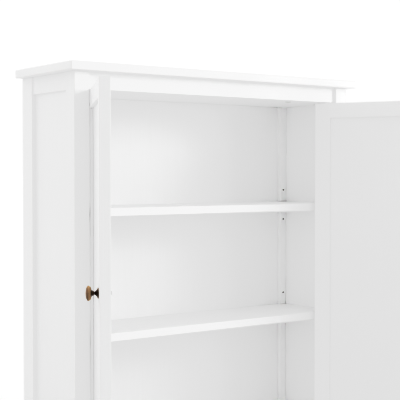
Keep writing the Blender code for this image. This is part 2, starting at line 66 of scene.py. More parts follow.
def linear(code):
    """An sRGB hex colour, turned to the linear colour that a socket takes."""
    channels = [int(code[at:at + 2], 16) / 255 for at in (0, 2, 4)]
    return [c / 12.92 if c <= 0.04045 else ((c + 0.055) / 1.055) ** 2.4 for c in channels] + [1.0]


def add(tree, kind, links=None, **settings):
    """Adds a node. links gives its inputs, each a plain value or another node's output."""
    made = tree.nodes.new(kind)
    for name, value in settings.items():
        setattr(made, name, value)
    for socket, value in (links or {}).items():
        if isinstance(value, bpy.types.NodeSocket):
            tree.links.new(value, made.inputs[socket])
        else:
            made.inputs[socket].default_value = value
    return made


def white_lacquer(name, turn):
    """Sprayed satin lacquer on birch, with the grain brought along X by the turn.

    The lacquer levels to a soft sheen with a faint orange peel. The grain still shows through it as
    long shallow lines, the coat is a little thinner and warmer on the arrises, and a slow change of
    tone and sheen is left by the gun. Birch pores are about 0.1 mm wide and the peel 1 to 2 mm, which
    is too fine to show, so they are drawn 2.5 mm and 4 mm wide.
    """
    made = bpy.data.materials.new(name)
    made.use_nodes = True
    tree = made.node_tree
    shader = tree.nodes["Principled BSDF"]
    shader.inputs["IOR"].default_value = 1.48
    place = add(tree, "ShaderNodeTexCoord").outputs["Object"]
    in_line = add(tree, "ShaderNodeMapping", {"Vector": place, "Rotation": turn}).outputs["Vector"]
    drawn_out = add(
        tree, "ShaderNodeMapping", {"Vector": in_line, "Scale": (1 / 0.16, 1 / 0.0025, 1 / 0.0025)}
    ).outputs["Vector"]
    grain = add(
        tree, "ShaderNodeTexNoise", {"Vector": drawn_out, "Scale": 1.0, "Detail": 3.0, "Roughness": 0.55}
    ).outputs["Fac"]
    peel = add(
        tree, "ShaderNodeTexNoise", {"Vector": place, "Scale": 1 / 0.004, "Detail": 1.0}
    ).outputs["Fac"]
    passes = add(
        tree, "ShaderNodeTexNoise", {"Vector": in_line, "Scale": 1 / 0.22, "Detail": 2.0}
    ).outputs["Fac"]
    arris = add(tree, "ShaderNodeAttribute", attribute_name="arris").outputs["Fac"]

    # A Mix node's colours are its sockets 6 and 7, and its colour comes out of socket 2.
    coat = add(
        tree, "ShaderNodeMix", {0: passes, 6: linear("F9F9F9"), 7: linear("F6F6F6")}, data_type="RGBA"
    ).outputs[2]
    lines = add(
        tree, "ShaderNodeMapRange",
        {"Value": grain, "From Min": 0.35, "From Max": 0.75, "To Min": 0.0, "To Max": 0.22},
    ).outputs["Result"]
    grained = add(
        tree, "ShaderNodeMix", {0: lines, 6: coat, 7: linear("ECECEB")}, data_type="RGBA"
    ).outputs[2]
    thin = add(
        tree, "ShaderNodeMath", {0: arris, 1: 0.35}, operation="MULTIPLY"
    ).outputs["Value"]
    colour = add(
        tree, "ShaderNodeMix", {0: thin, 6: grained, 7: linear("EFEEEB")}, data_type="RGBA"
    ).outputs[2]
    tree.links.new(colour, shader.inputs["Base Color"])

    sheen = add(
        tree, "ShaderNodeMapRange",
        {"Value": passes, "From Min": 0.3, "From Max": 0.7, "To Min": 0.36, "To Max": 0.46},
    ).outputs["Result"]
    tree.links.new(sheen, shader.inputs["Roughness"])

    along = add(
        tree, "ShaderNodeBump", {"Height": grain, "Strength": 0.30, "Distance": 0.00012}
    ).outputs["Normal"]
    skin = add(
        tree, "ShaderNodeBump", {"Height": peel, "Strength": 0.30, "Distance": 0.00010, "Normal": along}
    ).outputs["Normal"]
    tree.links.new(skin, shader.inputs["Normal"])
    return made


def board(name, low, high, **faces):
    """A board sawn square between two corners, with any face moved to the coordinate given for it."""
    ends = [low.copy(), high.copy()]
    for face, at in faces.items():
        end, axis = FACES[face]
        ends[end][axis] = at
    bpy.ops.object.select_all(action="DESELECT")
    middle, size = (ends[0] + ends[1]) / 2, ends[1] - ends[0]
    bpy.ops.mesh.primitive_cube_add(size=1.0, location=middle, scale=size)
    bpy.ops.object.transform_apply(location=True, rotation=False, scale=True)
    made = bpy.context.object
    made.name = name
    return made


def pick(obj, kind, chosen):
    """Goes into edit mode with only the chosen edges or faces selected."""
    bpy.context.view_layer.objects.active = obj
    bpy.ops.object.mode_set(mode="EDIT")
    bpy.ops.mesh.select_mode(type=kind)
    bpy.ops.mesh.select_all(action="DESELECT")
    shape = bmesh.from_edit_mesh(obj.data)
    for item in shape.edges if kind == "EDGE" else shape.faces:
        item.select_set(chosen(item))
    bmesh.update_edit_mesh(obj.data)


def runs_along(axis, keep=None):
    """Chooses the edges that lie along an axis and, with keep, whose middle it accepts."""
    def chosen(edge):
        first, second = (vert.co for vert in edge.verts)
        way = (second - first).normalized()
        return abs(way["XYZ".index(axis)]) > 0.999 and (keep is None or keep((first + second) / 2))
    return chosen


def ease(obj, radius, chosen, steps=3):
    """Sands the chosen edges round."""
    pick(obj, "EDGE", chosen)
    bpy.ops.mesh.bevel(offset=radius, segments=steps, affect="EDGES")
    bpy.ops.object.mode_set(mode="OBJECT")


def apply_modifier(obj, kind, **settings):
    """Adds a modifier and applies it at once."""
    bpy.context.view_layer.objects.active = obj
    step = obj.modifiers.new(kind.lower(), kind)
    for name, value in settings.items():
        setattr(step, name, value)
    bpy.ops.object.modifier_apply(modifier=step.name)


def cut(obj, cutter):
    """Takes the cutter's shape out of a piece and throws the cutter away."""
    apply_modifier(obj, "BOOLEAN", operation="DIFFERENCE", solver="EXACT", object=cutter)
    bpy.data.objects.remove(cutter, do_unlink=True)


def bore(obj, centre, radius, depth, turn=(0.0, 0.0, 0.0)):
    """Drills a hole to the depth each way from the centre, upright unless it is turned."""
    bpy.ops.object.select_all(action="DESELECT")
    bpy.ops.mesh.primitive_cylinder_add(
        vertices=24, radius=radius, depth=2 * depth, location=centre, rotation=turn
    )
    cut(obj, bpy.context.object)


def bore_peg_holes(obj, side, row, face):
    """Three holes round each shelf's level, in a face that looks along Y."""
    for shelf in ("shelf_lower", "shelf_upper"):
        low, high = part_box(f"{shelf}_support_{row}_{side}")
        for step in (-1, 0, 1):
            level = high.z - PEG_BELOW_PLATE_TOP + step * PEG_HOLE_PITCH
            bore(
                obj, ((low.x + high.x) / 2, face, level), PEG_HOLE_RADIUS, PEG_HOLE_DEEP,
                turn=(math.pi / 2, 0.0, 0.0),
            )


def bare_birch_as_painted_shade(name):
    """Birch cut after spraying, in holes and grooves: matt, with growth streaks 3 mm wide, and drawn a
    greyish tan far darker than birch as painted shade deep in the cuts.
    """
    made = bpy.data.materials.new(name)
    made.use_nodes = True
    tree = made.node_tree
    shader = tree.nodes["Principled BSDF"]
    shader.inputs["Roughness"].default_value = 0.75
    place = add(tree, "ShaderNodeTexCoord").outputs["Object"]
    streaks = add(
        tree, "ShaderNodeTexNoise", {"Vector": place, "Scale": 1 / 0.003, "Detail": 2.0}
    ).outputs["Fac"]
    colour = add(
        tree, "ShaderNodeMix", {0: streaks, 6: linear("8C8479"), 7: linear("766F66")}, data_type="RGBA"
    ).outputs[2]
    tree.links.new(colour, shader.inputs["Base Color"])
    return made


def corners(points):
    """The lowest and the highest corner of the box round some points."""
    return [Vector([end(point[axis] for point in points) for axis in range(3)]) for end in (min, max)]


def mark_faces(obj):
    """Marks the faces that sanding rounded, which look along no axis, and those cut inside the board,
    which get the darker cut-face material as painted shade.
    """
    low, high = corners([vert.co for vert in obj.data.vertices])
    arris = obj.data.attributes.new("arris", "FLOAT", "FACE")
    for face in obj.data.polygons:
        rounded = max(abs(part) for part in face.normal) < 0.995
        inside = min(min(face.center - low), min(high - face.center)) > CUT_INSIDE
        arris.data[face.index].value = float(rounded and not inside)
        # Faces cut inside the board take the second material, whose dark tan is partly unpainted birch and
        # partly painted shade.
        face.material_index = int(inside)


# The coarsest arris turns 45 degrees at a step, so every square edge that was left alone stays crisp.
SHARP_FROM = math.radians(50.0)


def lacquered(obj, node, body, finish, swing_with=None):
    """The last work on a board: faces marked, swung open if it is a door's, shaded, put in its place."""
    obj.data.materials.clear()
    obj.data.materials.append(finish)
    obj.data.materials.append(bare_cut_faces_with_painted_shade)
    mark_faces(obj)
    if swing_with:
        swung(obj, swing_with)
    bpy.ops.object.select_all(action="DESELECT")
    obj.select_set(True)
    bpy.context.view_layer.objects.active = obj
    bpy.ops.object.shade_smooth_by_angle(angle=SHARP_FROM)
    apply_modifier(obj, "WEIGHTED_NORMAL", keep_sharp=True, weight=100)
    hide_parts(node)
    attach(obj, body)


# The cut faces are unpainted birch, drawn darker and greyer than birch as painted shade in the holes and
# grooves.
bare_cut_faces_with_painted_shade = bare_birch_as_painted_shade("bare_birch_in_cuts_with_painted_shade")
upright = white_lacquer("white_lacquer_upright_grain", (0.0, math.pi / 2, 0.0))
lengthwise = white_lacquer("white_lacquer_lengthwise_grain", (0.0, 0.0, 0.0))
front_to_back = white_lacquer("white_lacquer_front_to_back_grain", (0.0, 0.0, math.pi / 2))

# The frame is screwed up under the top board and a hairline stays open between them.
TOP_GAP = 0.0005
top_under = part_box("top_board")[0].z
for side in SIDES:
    node = f"front_post_{side}"
    low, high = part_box(node)
    post = board(f"{node}_finished", low, high, head=top_under - TOP_GAP)
    ease(post, ARRIS, runs_along("Z"))
    ease(post, ARRIS, lambda edge: all(vert.co.z < NEAR for vert in edge.verts), steps=2)
    bore_peg_holes(post, side, "front", high.y)
    lacquered(post, node, "carcass", upright)

# Sides. Each is a frame of two rails between the front post and a rear stile, round a birch plywood
# panel, which is flush inside the cabinet and stands back outside, so the frame shows as a shallow border.
OUTSIDE_FROM = 0.39
for side in SIDES:
    post_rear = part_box(f"front_post_{side}")[1].y
    stile_low, stile_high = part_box(f"rear_stile_{side}")
    stile = board(f"rear_stile_{side}_finished", stile_low, stile_high, head=top_under - TOP_GAP)
    ease(stile, ARRIS, runs_along("Z", lambda middle: abs(middle.x) > OUTSIDE_FROM))
    ease(stile, ARRIS, lambda edge: all(vert.co.z < NEAR for vert in edge.verts), steps=2)
    lacquered(stile, f"rear_stile_{side}", "carcass", upright)

    heads = {"top": top_under - TOP_GAP, "bottom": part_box(f"side_rail_bottom_{side}")[1].z}
    for level, head in heads.items():
        node = f"side_rail_{level}_{side}"
        low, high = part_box(node)
        rail = board(f"{node}_finished", low, high, front=post_rear, rear=stile_low.y, head=head)
        sight = low.z if level == "top" else high.z
        ease(
            rail, ARRIS,
            runs_along("Y", lambda middle: abs(middle.z - sight) < NEAR and abs(middle.x) > OUTSIDE_FROM),
        )
        lacquered(rail, node, "carcass", front_to_back)

    node = f"side_panel_{side}"
    low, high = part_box(node)
    panel = board(
        f"{node}_finished", low, high, front=post_rear, rear=stile_low.y, foot=heads["bottom"],
        head=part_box(f"side_rail_top_{side}")[0].z,
    )
    lacquered(panel, node, "carcass", upright)

# Rear battens. A square birch batten is screwed inside each rear stile. It is grooved for the back panel,
# and its front is drilled like the posts' rears, so that a shelf rests level on four supports.
BATTEN_ARRIS = 0.0010
for side in SIDES:
    node = f"rear_batten_{side}"
    low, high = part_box(node)
    batten = board(f"{node}_finished", low, high, head=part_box("ceiling_board")[0].z)
    ease(batten, BATTEN_ARRIS, runs_along("Z", lambda middle: middle.y < low.y + NEAR))
    bore_peg_holes(batten, side, "rear", low.y)
    lacquered(batten, node, "carcass", upright)

# Front rails. The apron under the top and the rail under the bottom board are tenoned into the posts and
# stand back from their faces. Each is drilled near its ends for the brass bushes that the doors turn in.
BUSH_CLEARANCE = 0.0003
post_inner = {side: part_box(f"front_post_{side}")[side == "left"].x for side in SIDES}
for node, level in (("front_apron", "top"), ("front_rail_bottom", "bottom")):
    low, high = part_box(node)
    head = top_under if level == "top" else high.z
    rail = board(
        f"{node}_finished", low, high, left=post_inner["left"], right=post_inner["right"], head=head
    )
    ease(rail, ARRIS, runs_along("X", lambda middle: level == "bottom" or middle.z < low.z + NEAR))
    for side in SIDES:
        bush_low, bush_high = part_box(f"pivot_bush_{level}_{side}")
        socket_radius = (bush_high.x - bush_low.x) / 2 + BUSH_CLEARANCE
        socket_reach = (bush_high.z - bush_low.z) / 2 + BUSH_CLEARANCE
        bore(rail, (bush_low + bush_high) / 2, socket_radius, socket_reach)
    lacquered(rail, node, "carcass", lengthwise)

# Back. Two rails cross the back at the ends of the battens, and a thin birch plywood panel is let into
# grooves in the battens and rebates in the rails. It is lacquered with the inside of the cabinet.
BACK_PANEL_ARRIS = 0.0009
low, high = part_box("back_rail_top")
rail = board(
    "back_rail_top_finished", low, high, left=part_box("rear_stile_left")[1].x,
    right=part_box("rear_stile_right")[0].x, front=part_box("back_panel")[0].y, head=top_under,
)
ease(rail, ARRIS, runs_along("X", lambda middle: middle.y > high.y - NEAR and middle.z < low.z + NEAR))
lacquered(rail, "back_rail_top", "carcass", lengthwise)

batten_inner = {side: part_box(f"rear_batten_{side}")[side == "left"].x for side in SIDES}
low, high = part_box("back_rail_bottom")
rail = board(
    "back_rail_bottom_finished", low, high, left=batten_inner["left"], right=batten_inner["right"],
    front=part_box("back_panel")[1].y,
)
ease(rail, ARRIS, runs_along("X", lambda middle: middle.y > high.y - NEAR))
lacquered(rail, "back_rail_bottom", "carcass", lengthwise)

low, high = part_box("back_panel")
panel = board(
    "back_panel_finished", low, high, left=batten_inner["left"], right=batten_inner["right"],
    head=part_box("ceiling_board")[0].z,
)
ease(panel, BACK_PANEL_ARRIS, lambda edge: all(vert.co.y < low.y + NEAR for vert in edge.verts), steps=1)
lacquered(panel, "back_panel", "carcass", upright)

# Ceiling and bottom boards. Both are tongued into the front rails and notched round the posts, and
# the bottom board round the battens too. The doors' ends pass just under one and just over the other.
NOTCH_REAR_GAP = 0.0002
for node, front_rail in (("ceiling_board", "front_apron"), ("bottom_board", "front_rail_bottom")):
    low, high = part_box(node)
    back_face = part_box("back_panel")[0].y
    layer = board(f"{node}_finished", low, high, front=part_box(front_rail)[1].y, rear=back_face)
    for side in SIDES:
        uprights = [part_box(f"front_post_{side}")]
        if node == "bottom_board":
            uprights.append(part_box(f"rear_batten_{side}"))
        for upright_low, upright_high in uprights:
            notch_rear = upright_high.y + NOTCH_REAR_GAP
            cut(layer, board("notch_cutter", upright_low, upright_high, rear=notch_rear))
    lacquered(layer, node, "carcass", lengthwise)

# Top board. One wide birch board laid over the frame, standing proud at the front and the sides, with
# its edges rounded more than the frame's because hands and bottles meet them.
TOP_ROUND = 0.0022
low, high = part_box("top_board")
top = board("top_board_finished", low, high)
ease(top, TOP_ROUND, lambda edge: True, steps=4)
lacquered(top, "top_board", "carcass", lengthwise)

# Shelves. Two loose birch boards, notched at the rear corners to pass the battens, each resting on four
# supports. Their front edges are eased like the rails'.
NOTCH_SIDE_GAP = 0.0005
NOTCH_FRONT_GAP = 0.0024
CUTTER_SPARE = 0.01
for node in ("shelf_lower", "shelf_upper"):
    low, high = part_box(node)
    shelf = board(f"{node}_finished", low, high)
    ease(shelf, ARRIS, runs_along("X", lambda middle: middle.y < low.y + NEAR))
    for side, way in SIDES.items():
        inner = batten_inner[side] - way * NOTCH_SIDE_GAP
        if side == "left":
            ends = {"left": low.x - CUTTER_SPARE, "right": inner}
        else:
            ends = {"left": inner, "right": high.x + CUTTER_SPARE}
        notch = board(
            "notch_cutter", low, high, **ends, rear=high.y + CUTTER_SPARE,
            front=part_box(f"rear_batten_{side}")[0].y - NOTCH_FRONT_GAP,
            foot=low.z - CUTTER_SPARE, head=high.z + CUTTER_SPARE,
        )
        cut(shelf, notch)
    lacquered(shelf, node, node, lengthwise)

# Shelf supports. Each is pressed from 1.5 mm steel strip, bent into an angle with a peg riveted in, then
# barrel plated with bright zinc, which leaves a cool grey shine with a fine cloudy mottle.
STRIP = 0.0015
STRIP_FROM_PEG_END = 0.0094
STRIP_CORNER = 0.0030
STRIP_SHARP_FROM = math.radians(35.0)
PEG_RADIUS = 0.0022
PEG_ARRIS = 0.0004


def zinc_plated(name):
    """Bright zinc on mild steel. The crystals are under 0.1 mm, so the mottle is drawn 3 mm wide."""
    made = bpy.data.materials.new(name)
    made.use_nodes = True
    tree = made.node_tree
    shader = tree.nodes["Principled BSDF"]
    shader.inputs["Metallic"].default_value = 1.0
    place = add(tree, "ShaderNodeTexCoord").outputs["Object"]
    mottle = add(
        tree, "ShaderNodeTexNoise", {"Vector": place, "Scale": 1 / 0.003, "Detail": 3.0}
    ).outputs["Fac"]
    colour = add(
        tree, "ShaderNodeMix", {0: mottle, 6: linear("C9CBCD"), 7: linear("B4B8BC")}, data_type="RGBA"
    ).outputs[2]
    tree.links.new(colour, shader.inputs["Base Color"])
    shine = add(
        tree, "ShaderNodeMapRange", {"Value": mottle, "To Min": 0.24, "To Max": 0.42}
    ).outputs["Result"]
    tree.links.new(shine, shader.inputs["Roughness"])
    return made


steel = zinc_plated("zinc_plated_steel_bright")
first_low, first_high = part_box("shelf_upper_support_front_left")
strip_front = first_low.y + STRIP_FROM_PEG_END
pattern = board("support_pattern", first_low, first_high, front=strip_front, rear=strip_front + STRIP)
bpy.ops.object.mode_set(mode="EDIT")
bpy.ops.mesh.select_all(action="SELECT")
bpy.ops.mesh.bisect(plane_co=(0.0, 0.0, first_low.z + STRIP), plane_no=(0.0, 0.0, 1.0))
bpy.ops.object.mode_set(mode="OBJECT")
pick(
    pattern, "FACE",
    lambda face: face.normal.y > 0.9 and face.calc_center_median().z < first_low.z + STRIP,
)
bpy.ops.mesh.extrude_region_move(
    TRANSFORM_OT_translate={"value": (0.0, first_high.y - strip_front - STRIP, 0.0)}
)
bpy.ops.object.mode_set(mode="OBJECT")
ease(pattern, STRIP_CORNER, lambda edge: (
    runs_along("Y", lambda middle: middle.z > first_high.z - NEAR)(edge)
    or runs_along("Z", lambda middle: middle.y > first_high.y - NEAR)(edge)
), steps=5)
bpy.ops.object.select_all(action="DESELECT")
peg_level = first_high.z - PEG_BELOW_PLATE_TOP
peg_long = strip_front - first_low.y
bpy.ops.mesh.primitive_cylinder_add(
    vertices=24, radius=PEG_RADIUS, depth=peg_long + STRIP / 2, rotation=(math.pi / 2, 0.0, 0.0),
    location=((first_low.x + first_high.x) / 2, first_low.y + (peg_long + STRIP / 2) / 2, peg_level),
)
peg = bpy.context.object
bpy.ops.object.transform_apply(location=True, rotation=True, scale=True)
ease(peg, PEG_ARRIS, lambda edge: all(vert.co.y < first_low.y + NEAR for vert in edge.verts), steps=2)
apply_modifier(pattern, "BOOLEAN", operation="UNION", solver="EXACT", object=peg)
bpy.data.objects.remove(peg, do_unlink=True)
pattern.data.materials.clear()
pattern.data.materials.append(steel)
pattern_middle = (first_low + first_high) / 2
for shelf in ("shelf_lower", "shelf_upper"):
    for row in ("front", "rear"):
        for side in SIDES:
            node = f"{shelf}_support_{row}_{side}"
            low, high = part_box(node)
            support = pattern.copy()
            support.data = pattern.data.copy()
            support.name = f"{node}_finished"
            bpy.context.scene.collection.objects.link(support)
            turn = Matrix.Rotation(math.pi if row == "rear" else 0.0, 4, "Z")
            support.matrix_world = (
                Matrix.Translation((low + high) / 2) @ turn @ Matrix.Translation(-pattern_middle)
            )
            bpy.ops.object.select_all(action="DESELECT")
            support.select_set(True)
            bpy.context.view_layer.objects.active = support
            bpy.ops.object.transform_apply(location=True, rotation=True, scale=True)
            bpy.ops.object.shade_smooth_by_angle(angle=STRIP_SHARP_FROM)
            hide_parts(node)
            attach(support, "carcass")
bpy.data.objects.remove(pattern, do_unlink=True)

# Doors. Each is a birch frame of two stiles and two rails with a thin panel in a groove all round. The
# joints were filled and sanded before spraying, so no line shows between stile and rail.
# A door is built closed, then swung to where its hinge joint rests, standing open.
GROOVE_SLACK = 0.0006
PIN_SLACK = 0.0003
PANEL_ARRIS = 0.0004
hinges = {joint["name"]: joint for joint in frame["joints"]}


def swing(side):
    """The move that takes a closed door to its place at rest."""
    hinge = hinges[f"door_{side}_hinge"]
    about = Vector(hinge["pos_m"])
    shut = math.radians(hinge["range_deg"][1]) * hinge["axis"][2]
    return Matrix.Translation(about) @ Matrix.Rotation(-shut, 4, "Z") @ Matrix.Translation(-about)


def shut_box(node, side):
    """The two corners of a door's node when the door is shut."""
    shut = swing(side).inverted()
    return corners([shut @ vert.co for vert in frame["nodes"][node].data.vertices])


def swung(obj, side):
    """Swings a finished piece open with its door."""
    bpy.ops.object.select_all(action="DESELECT")
    obj.select_set(True)
    bpy.context.view_layer.objects.active = obj
    obj.matrix_world = swing(side) @ obj.matrix_world
    bpy.ops.object.transform_apply(location=True, rotation=True, scale=True)


for side in SIDES:
    body = f"door_{side}"
    turn = swing(side).to_euler().z
    rail_grain = white_lacquer(f"white_lacquer_{body}_rail_grain", (0.0, 0.0, -turn))
    stile_boxes = {
        node: shut_box(node, side) for node in (f"door_hinge_stile_{side}", f"door_meeting_stile_{side}")
    }
    faces_in_x = sorted(corner.x for stile_box in stile_boxes.values() for corner in stile_box)
    opening = faces_in_x[1:3]
    rail_boxes = {level: shut_box(f"door_{level}_rail_{side}", side) for level in ("top", "bottom")}
    sight_low, sight_high = rail_boxes["bottom"][1].z, rail_boxes["top"][0].z
    panel_low, panel_high = shut_box(f"door_panel_{side}", side)
    slack = Vector((GROOVE_SLACK, GROOVE_SLACK, GROOVE_SLACK))

    for node, (low, high) in stile_boxes.items():
        stile = board(f"{node}_finished", low, high)
        bpy.ops.object.mode_set(mode="EDIT")
        for level in (sight_low, sight_high):
            bpy.ops.mesh.select_all(action="SELECT")
            bpy.ops.mesh.bisect(plane_co=(0.0, 0.0, level), plane_no=(0.0, 0.0, 1.0))
        bpy.ops.object.mode_set(mode="OBJECT")
        ease(stile, ARRIS, lambda edge: (
            runs_along("Z", lambda middle: min(abs(middle.x - at) for at in opening) > NEAR)(edge)
            or runs_along("Z", lambda middle: sight_low < middle.z < sight_high)(edge)
        ))
        cut(stile, board("groove_cutter", panel_low - slack, panel_high + slack))
        for end in ("top", "bottom"):
            pin_low, pin_high = shut_box(f"pivot_pin_{end}_{side}", side)
            if node.startswith("door_hinge"):
                in_door = pin_low.z if end == "top" else pin_high.z
                door_end = high.z if end == "top" else low.z
                bore(
                    stile, ((pin_low.x + pin_high.x) / 2, (pin_low.y + pin_high.y) / 2, door_end),
                    (pin_high.x - pin_low.x) / 2 + PIN_SLACK, abs(door_end - in_door) + PIN_SLACK,
                )
        lacquered(stile, node, body, upright, side)

    for level, (low, high) in rail_boxes.items():
        node = f"door_{level}_rail_{side}"
        rail = board(f"{node}_finished", low, high, left=opening[0], right=opening[1])
        ease(rail, ARRIS, runs_along("X"))
        cut(rail, board("groove_cutter", panel_low - slack, panel_high + slack))
        lacquered(rail, node, body, rail_grain, side)

    panel = board(f"door_panel_{side}_finished", panel_low, panel_high)
    ease(panel, PANEL_ARRIS, lambda edge: True, steps=1)
    lacquered(panel, f"door_panel_{side}", body, upright, side)

# Knobs. Cast brass turned to a mushroom head on its own rose, darkened in a bath and rubbed bright again
# where a hand would rub the rim, then waxed. The bright band round each knob's rim is partly that wear and
# partly a painted highlight, and the knob's dome is painted darker towards its crown as painted shade.
# A slotted screw through the door holds each one.


def antique_brass_with_painted_light(name):
    """Darkened brass, waxed.

    The bath turns it deep brown, which stays in the hollows, and the worn rim comes back paler. On the
    knob that pale band is also a painted highlight, and the dome darker towards its crown is painted
    shade. The attribute runs from 0 in the hollows to 1 on the rim. The bath's stains are about 2 mm
    across.
    """
    made = bpy.data.materials.new(name)
    made.use_nodes = True
    tree = made.node_tree
    shader = tree.nodes["Principled BSDF"]
    shader.inputs["Metallic"].default_value = 1.0
    place = add(tree, "ShaderNodeTexCoord").outputs["Object"]
    rubbed_and_painted_light = add(tree, "ShaderNodeAttribute", attribute_name="rubbed_and_painted_light").outputs["Fac"]
    stains = add(
        tree, "ShaderNodeTexNoise", {"Vector": place, "Scale": 1 / 0.002, "Detail": 3.0}
    ).outputs["Fac"]
    swing_of_tone = add(
        tree, "ShaderNodeMapRange",
        {"Value": stains, "From Min": 0.3, "From Max": 0.7, "To Min": -0.12, "To Max": 0.12},
    ).outputs["Result"]
    worn_and_painted_light = add(
        tree, "ShaderNodeMath", {0: rubbed_and_painted_light, 1: swing_of_tone}, operation="ADD", use_clamp=True
    ).outputs["Value"]
    colour = add(
        tree, "ShaderNodeMix", {0: worn_and_painted_light, 6: linear("48362A"), 7: linear("927E64")}, data_type="RGBA"
    ).outputs[2]
    tree.links.new(colour, shader.inputs["Base Color"])
    shine = add(
        tree, "ShaderNodeMapRange", {"Value": worn_and_painted_light, "To Min": 0.34, "To Max": 0.17}
    ).outputs["Result"]
    tree.links.new(shine, shader.inputs["Roughness"])
    pits = add(
        tree, "ShaderNodeBump", {"Height": stains, "Strength": 0.25, "Distance": 0.00008}
    ).outputs["Normal"]
    tree.links.new(pits, shader.inputs["Normal"])
    return made


def turned(name, stations, steps=48):
    """Turned on Z from a disc. Each station is the radius and the height the work is drawn out to."""
    bpy.ops.object.select_all(action="DESELECT")
    (radius, height), *rest = stations
    bpy.ops.mesh.primitive_circle_add(
        vertices=steps, radius=radius, fill_type="NGON", location=(0.0, 0.0, height)
    )
    bpy.ops.object.transform_apply(location=True, rotation=False, scale=False)
    made = bpy.context.object
    made.name = name
    pick(made, "FACE", lambda face: True)
    for next_radius, next_height in rest:
        bpy.ops.mesh.extrude_region_move(
            TRANSFORM_OT_translate={"value": (0.0, 0.0, next_height - height)}
        )
        grown = next_radius / radius
        bpy.ops.transform.resize(value=(grown, grown, 1.0), center_override=(0.0, 0.0, next_height))
        radius, height = next_radius, next_height
    bpy.ops.mesh.select_all(action="SELECT")
    bpy.ops.mesh.normals_make_consistent(inside=False)
    bpy.ops.object.mode_set(mode="OBJECT")
    return made


brass = antique_brass_with_painted_light("antique_brass_waxed_with_painted_light")

# The stations are a radius and a height in millimetres, from the door's face outwards.
MM = 0.001
ROSE = [
    (10.8, 0.3), (11.0, 0.5), (11.0, 1.3), (10.7, 1.7), (9.8, 2.2), (8.6, 2.8), (7.4, 3.5), (6.3, 4.3),
    (5.3, 5.1), (4.4, 6.0), (3.6, 6.8), (3.1, 7.5), (2.9, 8.0),
]
NECK = [
    (2.9, 8.3), (3.3, 8.6), (4.1, 9.0), (4.7, 9.6), (5.0, 10.4), (5.1, 11.4), (5.3, 12.2), (5.8, 12.8),
    (7.2, 13.2), (9.2, 13.5), (10.8, 13.9), (11.9, 14.5), (12.9, 15.4), (13.7, 16.4), (14.4, 17.5),
    (14.85, 18.4), (15.0, 19.1),
]
DOME_START, DOME_REACH, DOME_RADIUS = 19.4, 6.1, 15.0
DOME_FIRST_TURN, DOME_TURN, DOME_STEPS = 4, 5.2, 17
dome = [
    (DOME_RADIUS * math.cos(turn), DOME_START + DOME_REACH * math.sin(turn))
    for turn in [math.radians(DOME_FIRST_TURN + DOME_TURN * step) for step in range(DOME_STEPS)]
]
SCREW_HEAD = [(4.0, -0.3), (4.0, -1.1), (3.8, -1.6), (3.3, -2.1), (2.4, -2.4), (1.2, -2.5)]
SLOT_SIZE = Vector((0.010, 0.0009, 0.0024))
SLOT_MIDDLE = Vector((0.0, 0.0, 0.0025))

# The brown of the bath stays up to the first radius, and past the second one the brass is worn bright.
# On the knob that bright band at the rim is also a painted highlight.
ROSE_RUBBED = (4.0, 40.0)
KNOB_RUBBED_AND_PAINTED_LIGHT = (8.5, 13.5)
SCREW_RUBBED = (4.0, 8.0)
# The knob's dome is painted darker towards its crown as painted shade, down to the least value.
DOME_LEAST_AFTER_PAINTED_SHADE = 0.25
DOME_PAINTED_SHADE = 1.5
TURNED_SHARP_FROM = math.radians(40.0)


def brass_fitting(obj, rubbed_and_painted_light_between):
    """Marks how far each point was worn bright, and on the knob where a highlight is painted, by its
    distance from the lathe's axis.
    """
    hollow, rim = (radius * MM for radius in rubbed_and_painted_light_between)
    rubbed_and_painted_light = obj.data.attributes.new("rubbed_and_painted_light", "FLOAT", "POINT")
    for vert in obj.data.vertices:
        out = math.hypot(vert.co.x, vert.co.y)
        rubbed_and_painted_light.data[vert.index].value = min(1.0, max(0.0, (out - hollow) / (rim - hollow)))
    obj.data.materials.clear()
    obj.data.materials.append(brass)


rose = turned("knob_rose_pattern", [(radius * MM, height * MM) for radius, height in ROSE])
brass_fitting(rose, ROSE_RUBBED)
knob = turned("knob_pattern", [(radius * MM, height * MM) for radius, height in NECK + dome])
brass_fitting(knob, KNOB_RUBBED_AND_PAINTED_LIGHT)
# Painted shade: the dome is drawn darker towards its crown.
for vert in knob.data.vertices:
    if vert.co.z > DOME_START * MM:
        up_dome = (vert.co.z / MM - DOME_START) / DOME_REACH
        dome_after_painted_shade = max(DOME_LEAST_AFTER_PAINTED_SHADE, 1.0 - DOME_PAINTED_SHADE * up_dome)
        knob.data.attributes["rubbed_and_painted_light"].data[vert.index].value = dome_after_painted_shade
screw = turned(
    "knob_screw_pattern", [(radius * MM, -height * MM) for radius, height in SCREW_HEAD], steps=32
)
cut(screw, board("slot_cutter", SLOT_MIDDLE - SLOT_SIZE / 2, SLOT_MIDDLE + SLOT_SIZE / 2))
brass_fitting(screw, SCREW_RUBBED)

for side in SIDES:
    low, high = shut_box(f"knob_{side}", side)
    face_low, face_high = shut_box(f"door_meeting_stile_{side}", side)
    for part, source, level, way in (
        ("knob_rose", rose, face_low.y, 1),
        ("knob", knob, face_low.y, 1),
        ("knob_screw", screw, face_high.y, -1),
    ):
        piece = source.copy()
        piece.data = source.data.copy()
        piece.name = f"{part}_{side}_finished"
        bpy.context.scene.collection.objects.link(piece)
        piece.matrix_world = (
            Matrix.Translation(((low.x + high.x) / 2, level, (low.z + high.z) / 2))
            @ Matrix.Rotation(way * math.pi / 2, 4, "X")
        )
        swung(piece, side)
        bpy.ops.object.shade_smooth_by_angle(angle=TURNED_SHARP_FROM)
        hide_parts(f"{part}_{side}")
        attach(piece, f"door_{side}")
for pattern in (rose, knob, screw):
    bpy.data.objects.remove(pattern, do_unlink=True)

# Door pivots. The doors hang on plain steel pins driven into the stiles' ends, turning in brass bushes
# pressed into the front rails. Both are stock turned parts, so the frame's own solids are shown.
for part, metal in (("pin", steel), ("bush", brass)):
    for level in ("top", "bottom"):
        for side in SIDES:
            for slot in frame["nodes"][f"pivot_{part}_{level}_{side}"].material_slots:
                slot.material = metal

